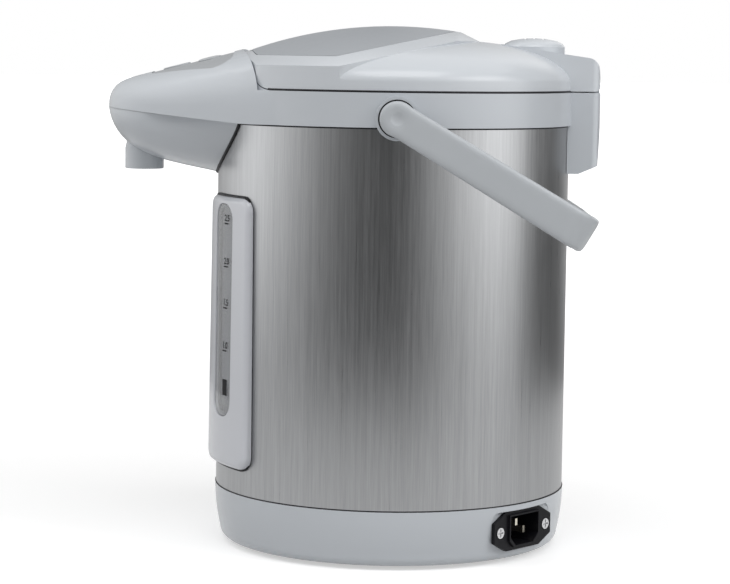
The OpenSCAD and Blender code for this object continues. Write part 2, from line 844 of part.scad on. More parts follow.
module pump_housing() {
  outlet = norm([tube_x - pump_x, tube_y - pump_y]);
  turn = atan2(tube_y - pump_y, tube_x - pump_x);
  color("gainsboro") difference() {
    union() {
      translate([pump_x, pump_y, 0]) {
        disc(pump_r, housing_z, housing_z + housing_h);
        disc(5, housing_z + housing_h - e, housing_z + housing_h + 8);
        rotate(turn) translate([0, 0, housing_z + 7]) rotate([0, 90, 0])
          cylinder(r = 5.5, h = outlet, $fn = 32);
      }
      translate([tube_x, tube_y, 0]) disc(tube_r + 2, housing_z + 1.5, tube_low + 12);
    }
    translate([pump_x, pump_y, 0]) {
      disc(pump_r - 3, housing_z + 2, housing_z + housing_h - 2);
      disc(3.5, housing_z + 2, housing_z + housing_h + 9);
      disc(1.6, housing_z - 1, housing_z + 3);
      rotate(turn) translate([0, 0, housing_z + 7]) rotate([0, 90, 0]) cylinder(r = 3.5, h = outlet, $fn = 32);
    }
    translate([tube_x, tube_y, 0]) {
      disc(tube_r, tube_low, tube_low + 13);
      disc(3.5, housing_z + 4, tube_low + 1);
    }
  }
}

module pump_motor() {
  color("dimgray") translate([pump_x, pump_y, 0]) difference() {
    union() {
      disc(14, motor_z, housing_z);
      for (s = [-1, 1]) {
        translate([s * 7, 0, 0]) disc(1.2, motor_z - 1, motor_z + 1);
      }
    }
    disc(1.56, housing_z - 9, housing_z + 1);
  }
}

// Vane wheel on the motor shaft
module impeller() {
  color("ivory") translate([pump_x, pump_y, 0]) {
    disc(1.5, housing_z - 8.7, housing_z + 5);
    disc(4, housing_z + 3, housing_z + 8);
    disc(pump_r - 6, housing_z + 3, housing_z + 4.4);
    for (i = [0:vanes - 1]) {
      rotate(i * 360 / vanes) translate([3, -0.6, housing_z + 4.4 - e]) cube([pump_r - 10, 1.2, 4.4]);
    }
  }
}

module feed_hose() {
  color("gainsboro") translate([pump_x, pump_y, 0]) ring(5, hose_r, housing_z + housing_h + 0.3, vessel_z - 3);
}

module power_board() {
  low = foot_h + plate_t + board_lift;
  color("darkgreen") translate([board_mid[0] - board_w / 2, board_mid[1] - board_d / 2, low]) cube([board_w, board_d, 1.6]);
  color("dimgray") translate([board_mid[0], board_mid[1], 0]) {
    translate([-30, -20, low + 1.6 - e]) cube([26, 22, 20]);
    translate([0, 10, low + 1.6 - e]) cube([20, 12, 15]);
    for (x = [6, 18]) {
      translate([x, -12, 0]) disc(5, low + 1.6 - e, low + 18.4);
    }
  }
}

// ---------- hinge and pivots ----------

module hinge_pin() {
  color("silver") x_rod(pin_r, -ear_out, ear_out, pin_y, pin_z);
}

module pivot_pins() {
  color("silver") for (s = [-1, 1]) {
    x_rod(pivot_r, s > 0 ? body_r + 0.4 : -pivot_end, s > 0 ? pivot_end : -body_r - 0.4, 0, pivot_z);
  }
}

// ---------- lid ----------

module crown_ball(drop) {
  translate([0, 0, z_crown - crown_r]) sphere(r = crown_r - drop, $fn = 180);
}

// Low dome that the crown rises from; drop is its depth below the outer face
dome_side = 5.9;
dome_rise = 23.1;
function dome_z(s) = z_rim + dome_side + dome_rise * pow(1 - pow(s, 3.4), 1 / 1.7);
module lid_dome(drop) {
  r = lid_r - drop;
  rotate_extrude() polygon(concat([[0, lid_z], [r, lid_z]],
    [for (i = [0:20]) let (s = cos(90 * i / 20)) [r * s, dome_z(s) - drop * (i < 1 ? 0.5 : 0.5 + i / 40)]]));
}

module fan_plan(g) {
  intersection() {
    translate([0, fan_y]) circle(r = fan_r + g);
    circle(r = fan_side + g);
    translate([0, arc_y]) circle(r = front_arc_r - rim_w + g, $fn = 180);
  }
}

// Raised surround of the fan plate: the crown held inside a cone about the fan's centre
module crown_rise(drop) {
  intersection() {
    crown_ball(drop);
    translate([0, fan_y, 0]) rotate_extrude() polygon([[0, lid_z], [fan_r + 14 - drop, lid_z],
      [fan_r + 14 - drop, z_rim + 28], [fan_r + 0.6 - drop, z_rim + 34.4], [0, z_rim + 34.4]]);
  }
}

// Ramp on the collar that rounds the seam at the lid's front corners; gap grows it for the lid's cut
module corner_ramp(gap) {
  heel = front_arc_r + seam - corner_r;
  intersection() {
    ring(collar_in - gap, collar_r + (gap > 0 ? 6 : 0), z_rim - 0.5, z_rim + corner_r);
    translate([0, arc_y, 0]) rotate_extrude($fn = 180) difference() {
      translate([heel, z_rim - 0.5]) square([corner_r + 3, corner_r + 1]);
      translate([heel, z_rim + corner_r]) circle(r = corner_r - gap);
    }
  }
}

// Saddle over the hinge, at the back of the lid; its lower back edge turns about the pin
module hinge_cap() {
  back = pin_y + knuckle_r;
  rounded_prism(back) side_prism(concat([[60, lid_z + 4], [60, z_rim + 26.6], [body_r - 1, z_rim + 20.9]],
    [for (a = [80:-20:0]) [back - 7.5 + 7 * cos(a), z_rim + 12.2 + 7.4 * sin(a)]],
    [[back, z_rim + 8], [back, pin_z]],
    [for (a = [-20:-20:-80]) [pin_y + knuckle_r * cos(a), pin_z + knuckle_r * sin(a)]],
    [[pin_y, pin_z - knuckle_r], [90, pin_z - knuckle_r], [90, lid_z + 4]]), hinge_hw);
}

module lid_shell() {
  color("silver") difference() {
    union() {
      intersection() {
        translate([0, 0, lid_z]) linear_extrude(60) lid_plan(lid_r, 0);
        union() {
          lid_dome(0);
          crown_rise(0);
        }
      }
      hinge_cap();
    }
    // hollow
    intersection() {
      translate([0, 0, lid_z - 1]) linear_extrude(60) lid_plan(lid_r - wall, -wall);
      union() {
        lid_dome(wall);
        crown_rise(wall);
        disc(lid_r - wall, lid_z - 1, lid_z + 1);
      }
    }
    translate([0, 0, lid_z - 1]) linear_extrude(60) fan_plan(0.5);
    translate([0, vent_y, 0]) disc(vent_r + 0.1, vent_z, z_crown + 5);
    translate([0, vent_y, 0]) disc(5, lid_z, z_crown);
    corner_ramp(seam);
    // slot for the release bar
    translate([-20.3, -lid_front - 0.4, deck_top + 0.2]) cube([40.6, rim_w + 1, 60]);
    // room for the ears, and the running bore
    for (s = [-1, 1]) {
      mid = s * (ear_in + ear_out) / 2;
      half = (ear_out - ear_in) / 2 + 0.4;
      x_rod(knuckle_r + 0.5, mid - half, mid + half, pin_y, pin_z);
      translate([mid - half, pin_y - knuckle_r - 0.5, lid_z - 3]) cube([2 * half, 30, pin_z - lid_z + 3]);
      translate([mid - half, pin_y, pin_z - 1]) cube([2 * half, 30, knuckle_r + 1.5]);
    }
    x_rod(pin_r + run_fit, -ear_out - 1, ear_out + 1, pin_y, pin_z);
  }
}

module lid_deck() {
  color("gainsboro") difference() {
    union() {
      translate([0, 0, deck_z]) linear_extrude(deck_t) lid_plan(lid_r - wall, -wall);
      ring(seal_r - 2, seal_r, drum_low, deck_z + e);
      ring(dish_r - 8, seal_r, drum_low, drum_low + 1.6);
    }
    disc(2.5, deck_z - 1, deck_top + 1);
  }
}

module inner_lid() {
  color("whitesmoke") difference() {
    disc(dish_r, drum_low - 1.6, drum_low);
    for (a = [0:60:300]) {
      rotate(a) translate([16, 0, 0]) disc(2, drum_low - 3, drum_low + 1);
    }
  }
}

module lid_seal() {
  color("white") ring(dish_r, seal_r, seal_z, drum_low);
}

module air_valve() {
  color("white") ring(2.5, 7, drum_low, deck_z);
}

module steam_vent() {
  color("silver") translate([0, vent_y, 0]) difference() {
    rotate_extrude() polygon([[0, vent_z], [vent_r, vent_z], [vent_r, vent_z + 4.6], [vent_r - 1.4, vent_z + 6.4],
      [vent_r - 4.7, vent_z + 8], [vent_r - 10.7, vent_z + 9.1], [0, vent_z + 9.5]]);
    disc(5, vent_z - 1, vent_z + 6);
    for (y = [-5, 0, 5]) {
      translate([-7, y - 0.8, vent_z + 5]) cube([14, 1.6, 6]);
    }
  }
}

module release_bar() {
  color("lightgray") intersection() {
    translate([0, 0, deck_top + release_travel + 0.6]) linear_extrude(60) difference() {
      intersection() {
        translate([-20, -lid_front - 5]) square([40, 20]);
        translate([0, arc_y]) circle(r = front_arc_r, $fn = 180);
      }
      translate([0, arc_y]) circle(r = front_arc_r - rim_w + 0.8, $fn = 180);
    }
    crown_ball(0);
  }
}

// ---------- hand pump ----------

module press_plate() {
  color("darkgray") union() {
    difference() {
      intersection() {
        translate([0, 0, lid_z]) linear_extrude(60) fan_plan(0);
        crown_ball(0);
      }
      crown_ball(2.5);
    }
    difference() {
      intersection() {
        translate([0, 0, lid_z]) linear_extrude(60) difference() {
          fan_plan(0);
          fan_plan(-2.2);
        }
        crown_ball(1);
      }
      crown_ball(4.2);
    }
    ring(13, 22, bellows_top, z_crown - 2.6);
    disc(22, bellows_top, bellows_top + 1.6);
  }
}

folds = 4;
module bellows() {
  pitch = (bellows_top - deck_top) / folds;
  outer = [for (i = [0:2 * folds]) [i % 2 == 0 ? 17 : 22, deck_top + i * pitch / 2]];
  inner = [for (i = [2 * folds:-1:0]) [i % 2 == 0 ? 16 : 21, deck_top + i * pitch / 2]];
  color("ivory") rotate_extrude($fn = 64) polygon(concat(outer, inner));
}

wire_r = 0.9;
coil_r = 11;
turns = 5;
function coil_point(u) = [coil_r * cos(360 * turns * u), coil_r * sin(360 * turns * u),
  deck_top + wire_r + 0.1 + (bellows_top - deck_top - 2 * wire_r - 0.2) * u];
module pump_spring() {
  steps = 70;
  sides = 6;
  pts = [for (i = [0:steps]) let (u = i / steps, c = coil_point(u), a = 360 * turns * u)
    for (j = [0:sides - 1]) let (b = 360 * j / sides)
    c + wire_r * [cos(a) * cos(b), sin(a) * cos(b), sin(b)]];
  faces = concat([[for (j = [0:sides - 1]) j]], [[for (j = [sides - 1:-1:0]) steps * sides + j]],
    [for (i = [0:steps - 1]) for (j = [0:sides - 1]) let (k = (j + 1) % sides)
      each [[i * sides + j, (i + 1) * sides + j, (i + 1) * sides + k], [i * sides + j, (i + 1) * sides + k, i * sides + k]]]);
  color("silver") polyhedron(pts, faces, convexity = 10);
}

// ---------- handle ----------

// Plan of a bowed loop: straight arms, an arc across their ends, and rounded corners
module bow_plan(half, out, corner) {
  arc = (half * half + grip_bow * grip_bow) / (2 * grip_bow);
  offset(r = corner) offset(delta = -corner) intersection() {
    translate([-half, -60]) square([2 * half, 60 + out]);
    translate([0, out - arc]) circle(r = arc, $fn = 300);
  }
}

module handle() {
  grip_out = grip_in + grip_t;
  outer = arm_in + arm_t;
  color("lightgray") translate([0, 0, pivot_z]) rotate([-park_angle, 0, 0]) difference() {
    intersection() {
      translate([0, 0, -30]) linear_extrude(60) difference() {
        bow_plan(outer, grip_out, 16);
        bow_plan(arm_in, grip_in, 12);
        translate([-arm_in, -70]) square([2 * arm_in, 60]);
      }
      rotate([90, 0, 90]) translate([0, 0, -150]) linear_extrude(300) union() {
        circle(r = hub_r);
        offset(r = 3, $fn = 32) offset(delta = -3)
          polygon([[0, -hub_r + 0.6], [grip_out, -strap_w / 2], [grip_out, strap_w / 2], [0, hub_r - 0.6]]);
      }
    }
    x_rod(pivot_r + run_fit, -pivot_end - 0.3, pivot_end + 0.3, 0, 0);
    for (s = [-1, 1]) {
      translate([s * (outer + 11), 0, 0]) sphere(r = 12, $fn = 48);
    }
  }
}

foot_ring();
base_plate();
base_screws();
base_shell();
jacket();
top_housing();
nose_lower();
nozzle();
control_panel();
panel_lights();
control_board();
dispense_button();
reboil_button();
lock_button();
gauge_frame();
gauge_cover();
gauge_lens();
gauge_tube();
outlet_pipe();
vessel();
vessel_pan();
vessel_neck();
heater();
thermostat();
pump_housing();
pump_motor();
impeller();
feed_hose();
power_board();
inlet_socket();
inlet_pins();
inlet_screws();
pivot_pins();
hinge_pin();
lid_shell();
lid_deck();
inner_lid();
lid_seal();
air_valve();
steam_vent();
release_bar();
press_plate();
bellows();
pump_spring();
handle();
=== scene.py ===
import math

import bpy
from mathutils import Matrix, Vector


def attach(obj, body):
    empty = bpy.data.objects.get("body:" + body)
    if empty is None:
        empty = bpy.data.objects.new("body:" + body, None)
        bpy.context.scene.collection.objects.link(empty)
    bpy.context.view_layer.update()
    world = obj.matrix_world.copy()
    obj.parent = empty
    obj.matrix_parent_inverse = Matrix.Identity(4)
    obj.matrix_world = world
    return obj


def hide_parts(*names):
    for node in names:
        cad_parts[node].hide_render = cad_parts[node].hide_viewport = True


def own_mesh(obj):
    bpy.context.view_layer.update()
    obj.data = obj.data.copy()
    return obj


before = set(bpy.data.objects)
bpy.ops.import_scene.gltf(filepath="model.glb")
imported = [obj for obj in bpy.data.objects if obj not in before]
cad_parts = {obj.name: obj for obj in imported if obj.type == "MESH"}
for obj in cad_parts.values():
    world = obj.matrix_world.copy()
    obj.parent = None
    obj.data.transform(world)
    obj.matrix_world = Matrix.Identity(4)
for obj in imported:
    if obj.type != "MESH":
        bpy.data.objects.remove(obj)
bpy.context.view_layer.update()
bpy.ops.object.select_all(action="DESELECT")
MM = 0.001


# ---------------------------------------------------------------- standing ring
# The pot stands on one black rubber ring. It is moulded, and pressed into a
# groove in the underside of the base plate.

def take(piece):
    """Makes the piece the one that operators act on."""
    if bpy.context.object and bpy.context.object.mode != "OBJECT":
        bpy.ops.object.mode_set(mode="OBJECT")
    bpy.ops.object.select_all(action="DESELECT")
    piece.select_set(True)
    bpy.context.view_layer.objects.active = piece


def applied(piece, kind, **settings):
    """Adds a modifier with these settings and applies it."""
    take(piece)
    modifier = piece.modifiers.new(kind.lower(), kind)
    for key, value in settings.items():
        setattr(modifier, key, value)
    bpy.ops.object.modifier_apply(modifier=modifier.name)


def smoothed(piece, corner=35):
    """Smooth shading that breaks at corners and keeps broad faces flat."""
    take(piece)
    bpy.ops.object.shade_smooth_by_angle(angle=math.radians(corner))
    applied(piece, "WEIGHTED_NORMAL", keep_sharp=True, weight=60)


def carried(node, rounding=0.3 * MM, corner=35, segments=2):
    """A merged copy of a construction solid with its sharp edges rounded off."""
    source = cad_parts[node]
    piece = bpy.data.objects.new(node + "_finished", source.data.copy())
    bpy.context.scene.collection.objects.link(piece)
    take(piece)
    bpy.ops.mesh.customdata_custom_splitnormals_clear()
    bpy.ops.object.mode_set(mode="EDIT")
    bpy.ops.mesh.select_all(action="SELECT")
    bpy.ops.mesh.remove_doubles(threshold=0.002 * MM)
    bpy.ops.mesh.dissolve_limited(angle_limit=math.radians(0.4))
    bpy.ops.object.mode_set(mode="OBJECT")
    if rounding:
        applied(piece, "BEVEL", width=rounding, segments=segments, limit_method="ANGLE",
                angle_limit=math.radians(corner), use_clamp_overlap=True)
    smoothed(piece, corner)
    return piece


def material(name, colour, roughness, metallic=0.0):
    """A shader with Object coordinates ready for its textures."""
    made = bpy.data.materials.new(name)
    made.use_nodes = True
    tree = made.node_tree
    shader = tree.nodes["Principled BSDF"]
    shader.inputs["Base Color"].default_value = (*colour, 1)
    shader.inputs["Roughness"].default_value = roughness
    shader.inputs["Metallic"].default_value = metallic
    place = tree.nodes.new("ShaderNodeTexCoord")
    return made, tree, shader, place.outputs["Object"]


def noise(tree, place, scale, detail=2.0, stretch=(1, 1, 1)):
    """A noise pattern of this scale per metre, stretched along the axes."""
    mapping = tree.nodes.new("ShaderNodeMapping")
    mapping.inputs["Scale"].default_value = stretch
    pattern = tree.nodes.new("ShaderNodeTexNoise")
    pattern.inputs["Scale"].default_value = scale
    pattern.inputs["Detail"].default_value = detail
    tree.links.new(place, mapping.inputs["Vector"])
    tree.links.new(mapping.outputs["Vector"], pattern.inputs["Vector"])
    return pattern.outputs["Fac"]


def spread(tree, value, low, high):
    """Maps a 0 to 1 pattern onto the range low to high."""
    ranged = tree.nodes.new("ShaderNodeMapRange")
    ranged.inputs["From Min"].default_value = 0.3
    ranged.inputs["From Max"].default_value = 0.7
    ranged.inputs["To Min"].default_value = low
    ranged.inputs["To Max"].default_value = high
    tree.links.new(value, ranged.inputs["Value"])
    return ranged.outputs["Result"]


def tinted(tree, shader, value, dark, light):
    """Lets the base colour drift between two tints."""
    ramp = tree.nodes.new("ShaderNodeValToRGB")
    ramp.color_ramp.interpolation = "EASE"
    ramp.color_ramp.elements[0].position = 0.2
    ramp.color_ramp.elements[1].position = 0.8
    ramp.color_ramp.elements[0].color = (*dark, 1)
    ramp.color_ramp.elements[1].color = (*light, 1)
    tree.links.new(value, ramp.inputs["Fac"])
    tree.links.new(ramp.outputs["Color"], shader.inputs["Base Color"])


def bumped(tree, shader, value, depth, strength=0.3):
    """Raises the pattern by this depth."""
    bump = tree.nodes.new("ShaderNodeBump")
    bump.inputs["Distance"].default_value = depth
    bump.inputs["Strength"].default_value = strength
    tree.links.new(value, bump.inputs["Height"])
    tree.links.new(bump.outputs["Normal"], shader.inputs["Normal"])


def moulded(name, colour, roughness, grain=1400, depth=0.02 * MM, drift=0.03, strength=0.25):
    """Moulded plastic or rubber: a fine skin, a slow drift of tone and uneven gloss."""
    made, tree, shader, place = material(name, colour, roughness)
    light = [min(1, c * (1 + drift)) for c in colour]
    dark = [c * (1 - drift) for c in colour]
    tinted(tree, shader, noise(tree, place, 12, 1), dark, light)
    gloss = spread(tree, noise(tree, place, 220, 2), roughness * 0.95, roughness * 1.05)
    tree.links.new(gloss, shader.inputs["Roughness"])
    bumped(tree, shader, noise(tree, place, grain, 3), depth, strength)
    return made


def placed(piece, finish, body, slot, *nodes):
    """Gives the piece its finish, its body and the construction solids it stands for."""
    piece.data.materials.clear()
    piece.data.materials.append(finish)
    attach(piece, body)
    if nodes:
        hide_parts(*nodes)
    return piece


def dressed(node, finish, body, slot, rounding=0.3 * MM, corner=35, segments=2):
    """A construction solid carried over with rounded edges and its finish."""
    return placed(carried(node, rounding, corner, segments), finish, body, slot, node)


def coated(node, finish):
    """A construction solid that stays as it is and takes the finish."""
    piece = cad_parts[node]
    piece.data.materials.clear()
    piece.data.materials.append(finish)


black_rubber = moulded("black_rubber", (0.035, 0.035, 0.037), 0.75, grain=900, depth=0.05 * MM)
dressed("foot_ring", black_rubber, "pot", "foot_rubber", 0.6 * MM)


# ---------------------------------------------------------------- base plate and screws
# The flat plastic plate that closes the base, with cooling slots. Four cross-head
# screws hold it up against the lip of the base.

plate_grey = moulded("plate_grey", (0.42, 0.44, 0.46), 0.5)
dressed("base_plate", plate_grey, "pot", "grey_plastic", 0.25 * MM)

screw_steel, tree, shader, place = material("screw_steel", (0.62, 0.62, 0.63), 0.28, 1.0)
bumped(tree, shader, noise(tree, place, 2500, 2), 0.01 * MM)
tree.links.new(spread(tree, noise(tree, place, 400), 0.22, 0.38), shader.inputs["Roughness"])
dressed("base_screws", screw_steel, "pot", "bright_steel", 0.1 * MM)


# ---------------------------------------------------------------- base
# The moulded grey skirt round the foot of the pot. It is one injection moulding in
# glossy plastic, and its upper edge carries the steel jacket.

body_grey = moulded("body_grey", (0.555, 0.585, 0.62), 0.24, drift=0.008)
dressed("base_shell", body_grey, "pot", "grey_plastic", 0.35 * MM)


# ---------------------------------------------------------------- mains inlet
# A black three-pole appliance inlet, moulded in hard plastic. Two screws fix its
# flange in a recess of the base, and three plated blades stand in its cavity.

inlet_black = moulded("inlet_black", (0.005, 0.005, 0.007), 0.42, grain=1800)
inlet_black.node_tree.nodes["Principled BSDF"].inputs["Specular IOR Level"].default_value = 0.15
dressed("inlet_socket", inlet_black, "pot", "black_plastic", 0.25 * MM)
blade_plate, tree, shader, place = material("blade_plate", (0.70, 0.66, 0.56), 0.3, 1.0)
bumped(tree, shader, noise(tree, place, 1200, 2, (1, 1, 0.1)), 0.01 * MM)
dressed("inlet_pins", blade_plate, "pot", "brass_pins", 0.2 * MM)
dressed("inlet_screws", screw_steel, "pot", "bright_steel", 0.1 * MM)


# ---------------------------------------------------------------- pump, heater and boards
# What the jacket hides: the pump with its motor and vane wheel, the hoses, the
# heater under the vessel with its cut-out, and the circuit boards.

inside_white = moulded("inside_white", (0.72, 0.72, 0.70), 0.4)
soft_white = moulded("soft_white", (0.78, 0.78, 0.75), 0.5, grain=500)
can_steel, tree, shader, place = material("can_steel", (0.40, 0.40, 0.42), 0.4, 0.8)
bumped(tree, shader, noise(tree, place, 900, 3), 0.02 * MM)
board_green = moulded("board_green", (0.03, 0.16, 0.08), 0.35, grain=300, depth=0.05 * MM, drift=0.2)
for finish, nodes in ((inside_white, ("pump_housing", "impeller", "lid_deck")),
                      (soft_white, ("feed_hose", "outlet_pipe", "air_valve", "lid_seal")),
                      (can_steel, ("pump_motor",)),
                      (inlet_black, ("thermostat",)),
                      (board_green, ("power_board", "control_board")),
                      (screw_steel, ("heater", "pivot_pins", "hinge_pin"))):
    for node in nodes:
        coated(node, finish)


# ---------------------------------------------------------------- water vessel
# The drawn stainless vessel that holds the water, and the inner lid that closes
# it. Both are spun to a satin finish.

satin_steel, tree, shader, place = material("satin_steel", (0.60, 0.60, 0.60), 0.3, 1.0)
rings = noise(tree, place, 60, 3, (1, 1, 30))
bumped(tree, shader, rings, 0.02 * MM)
tree.links.new(spread(tree, rings, 0.24, 0.4), shader.inputs["Roughness"])
for node in ("vessel", "vessel_pan", "vessel_neck"):
    coated(node, satin_steel)
coated("inner_lid", satin_steel)


# ---------------------------------------------------------------- jacket
# The outer jacket is a rolled sheet of stainless steel, brushed along its height.
# It stands in the base and is capped by the collar.

def brushed_steel():
    """Steel with fine upright brush lines laid round the pot."""
    made, tree, shader, place = material("brushed_steel", (0.33, 0.335, 0.342), 0.34, 1.0)
    fine = noise(tree, place, 620, 3, (1, 1, 0.012))
    hair = noise(tree, place, 2400, 2, (1, 1, 0.02))
    lines = tree.nodes.new("ShaderNodeMix")
    lines.inputs["Factor"].default_value = 0.5
    tree.links.new(fine, lines.inputs["A"])
    tree.links.new(hair, lines.inputs["B"])
    tinted(tree, shader, lines.outputs["Result"], (0.285, 0.29, 0.296), (0.385, 0.39, 0.398))
    tree.links.new(spread(tree, lines.outputs["Result"], 0.27, 0.35), shader.inputs["Roughness"])
    bumped(tree, shader, lines.outputs["Result"], 0.012 * MM, 0.3)
    shader.inputs["Anisotropic"].default_value = 0.55
    around = tree.nodes.new("ShaderNodeTangent")
    around.direction_type = "RADIAL"
    around.axis = "Z"
    tree.links.new(around.outputs["Tangent"], shader.inputs["Tangent"])
    return made


JACKET_R = 100 * MM
JACKET_LOW, JACKET_TOP = 33 * MM, 240 * MM
jacket_steel = brushed_steel()
dressed("jacket", jacket_steel, "pot", "brushed_jacket", 0.15 * MM)

# Slim black rings lie in the joints at its two ends: painted shade, for the shadow in these joints.
gasket_and_gap_shade_black = moulded("gasket_and_gap_shade_black", (0.006, 0.006, 0.008), 0.5)
gasket_and_gap_shade_black.node_tree.nodes["Principled BSDF"].inputs["Specular IOR Level"].default_value = 0.3
for name, height, thick in (("base_joint_shade", JACKET_LOW + 0.1 * MM, 0.42 * MM),
                            ("collar_joint_shade", JACKET_TOP - 0.4 * MM, 0.5 * MM)):
    bpy.ops.mesh.primitive_torus_add(major_segments=256, minor_segments=10, minor_radius=thick,
                                     major_radius=JACKET_R + 0.05 * MM, location=(0, 0, height))
    ring = bpy.context.object
    ring.name = name
    bpy.ops.object.transform_apply(location=True)
    smoothed(ring, 60)
    placed(ring, gasket_and_gap_shade_black, "pot", "black_trim")


# ---------------------------------------------------------------- level gauge
# A white moulded cover, clipped over a slot in the jacket on a thin black gasket. Its
# long clear window shows the sight tube in front of a printed scale plate.

GAUGE_AT, GAUGE_LOW, GAUGE_HIGH = math.radians(-66.0), 48 * MM, 199 * MM
GAUGE_WIDE, COVER_THICK, CORNER = 54.4 * MM, 4.8 * MM, 8 * MM
WINDOW_AT, WINDOW_WIDE = 0.9 * MM, 22.3 * MM
WINDOW_LOW, WINDOW_HIGH, WINDOW_CORNER = 76 * MM, 195 * MM, 9 * MM
LENS_BACK, LENS_FRONT, PRINT_THICK = 2.3 * MM, 3.3 * MM, 0.06 * MM
LEAN = 1.6 * MM   # how far the foot of the cover stands further out than its head


def chosen(piece, test, kind="EDGE"):
    """Selects only the edges or faces that pass the test, and leaves edit mode on."""
    take(piece)
    bpy.ops.object.mode_set(mode="EDIT")
    bpy.ops.mesh.select_mode(type=kind)
    bpy.ops.mesh.select_all(action="DESELECT")
    bpy.ops.object.mode_set(mode="OBJECT")
    mesh = piece.data
    for item in (mesh.edges if kind == "EDGE" else mesh.polygons):
        points = [mesh.vertices[index].co for index in item.vertices]
        item.select = test(points)
    bpy.ops.object.mode_set(mode="EDIT")


def plate(name, wide, low, high, back, front, corner, edge=0.0, shift=0.0):
    """A flat plate with round corners and a rounded front edge, across X, up Z, facing Y."""
    bpy.ops.mesh.primitive_cube_add(size=1, location=(shift, (back + front) / 2, (low + high) / 2))
    piece = bpy.context.object
    piece.name = name
    piece.scale = (wide, front - back, high - low)
    bpy.ops.object.transform_apply(location=True, scale=True)
    chosen(piece, lambda points: abs(points[0].y - points[1].y) > 1e-5)
    bpy.ops.mesh.bevel(offset=corner, segments=8, affect="EDGES")
    if edge:
        chosen(piece, lambda points: all(point.y > front - 1e-6 for point in points))
        bpy.ops.mesh.bevel(offset=edge, segments=6, affect="EDGES")
    bpy.ops.object.mode_set(mode="OBJECT")
    return piece


def wrapped(piece, lean=0.0):
    """Cuts a flat plate into narrow strips and wraps it round the jacket; lean pushes its foot out."""
    take(piece)
    spans = [vertex.co.x for vertex in piece.data.vertices]
    strip = 2 * MM
    cut = min(spans) + strip
    while cut < max(spans) - strip / 4:
        bpy.ops.object.mode_set(mode="EDIT")
        bpy.ops.mesh.select_all(action="SELECT")
        bpy.ops.mesh.bisect(plane_co=(cut, 0, 0), plane_no=(1, 0, 0))
        bpy.ops.object.mode_set(mode="OBJECT")
        cut += strip
    for vertex in piece.data.vertices:
        angle = GAUGE_AT + vertex.co.x / JACKET_R
        away = vertex.co.y
        if away > 0.5 * MM:
            away += lean * (GAUGE_HIGH - vertex.co.z) / (GAUGE_HIGH - GAUGE_LOW)
        vertex.co.x = (JACKET_R + away) * math.cos(angle)
        vertex.co.y = (JACKET_R + away) * math.sin(angle)
    bpy.ops.object.mode_set(mode="EDIT")
    bpy.ops.mesh.select_all(action="SELECT")
    bpy.ops.mesh.normals_make_consistent(inside=False)
    bpy.ops.object.mode_set(mode="OBJECT")
    smoothed(piece, 30)
    return piece


def opened(piece, inset=0.0, corner=WINDOW_CORNER):
    """Cuts the window, or a smaller one set inside it, through a flat plate."""
    cutter = plate("window_cutter", WINDOW_WIDE - 2 * inset, WINDOW_LOW + inset, WINDOW_HIGH - inset,
                   -2 * MM, 9 * MM, corner, shift=WINDOW_AT)
    applied(piece, "BOOLEAN", operation="DIFFERENCE", object=cutter, solver="EXACT")
    bpy.data.objects.remove(cutter)


# The cover's white plastic is set to a darker, bluer white: painted shade, for the shade this side of the pot
# stands in.
gauge_white_with_painted_shade = moulded("gauge_white_with_painted_shade", (0.63, 0.645, 0.685), 0.2, drift=0.008)
cover = plate("gauge_cover_moulding", GAUGE_WIDE, GAUGE_LOW, GAUGE_HIGH, 0.2 * MM, COVER_THICK - 1 * MM,
              CORNER, 3.4 * MM)
opened(cover)
applied(cover, "BEVEL", width=0.5 * MM, segments=3, limit_method="ANGLE", angle_limit=math.radians(50))
placed(wrapped(cover, LEAN), gauge_white_with_painted_shade, "pot", "white_plastic", "gauge_cover")

# The gasket shows at the cover's head and foot, and thins out along its sides.
seat = plate("gauge_gasket", GAUGE_WIDE - 1 * MM, GAUGE_LOW - 1.3 * MM, GAUGE_HIGH + 1 * MM,
             0.05 * MM, 1.7 * MM, CORNER + 0.8 * MM, 0.6 * MM)
opened(seat)
for vertex in seat.data.vertices:
    inside = min(vertex.co.z - GAUGE_LOW, GAUGE_HIGH - vertex.co.z) / CORNER
    vertex.co.y *= 1 - 0.8 * max(0, min(1, inside))
placed(wrapped(seat), gasket_and_gap_shade_black, "pot", "black_trim", "gauge_frame")

lens_clear, tree, shader, place = material("lens_clear", (0.78, 0.79, 0.81), 0.06)
shader.inputs["Transmission Weight"].default_value = 1.0
shader.inputs["IOR"].default_value = 1.45
bumped(tree, shader, noise(tree, place, 300, 2), 0.01 * MM, 0.15)
lens = plate("window_lens", WINDOW_WIDE - 0.4 * MM, WINDOW_LOW + 0.2 * MM, WINDOW_HIGH - 0.2 * MM,
             LENS_BACK, LENS_FRONT, WINDOW_CORNER - 0.2 * MM, 0.4 * MM, shift=WINDOW_AT)
placed(wrapped(lens, LEAN), lens_clear, "pot", "clear_window", "gauge_lens")
rim_grey = moulded("rim_grey", (0.14, 0.15, 0.16), 0.3, drift=0.01)
rim = plate("window_rim", WINDOW_WIDE - 0.6 * MM, WINDOW_LOW + 0.3 * MM, WINDOW_HIGH - 0.3 * MM,
            0.6 * MM, LENS_BACK - 0.1 * MM, WINDOW_CORNER - 0.3 * MM, shift=WINDOW_AT)
opened(rim, 2 * MM, WINDOW_CORNER - 2 * MM)
placed(wrapped(rim), rim_grey, "pot", "white_plastic")
scale_grey = moulded("scale_grey", (0.22, 0.23, 0.24), 0.4, drift=0.02)
backing = plate("scale_plate", WINDOW_WIDE - 3 * MM, WINDOW_LOW + 1 * MM, WINDOW_HIGH - 1 * MM,
                0.2 * MM, 0.7 * MM, WINDOW_CORNER - 1.5 * MM, shift=WINDOW_AT)
placed(wrapped(backing), scale_grey, "pot", "white_plastic")

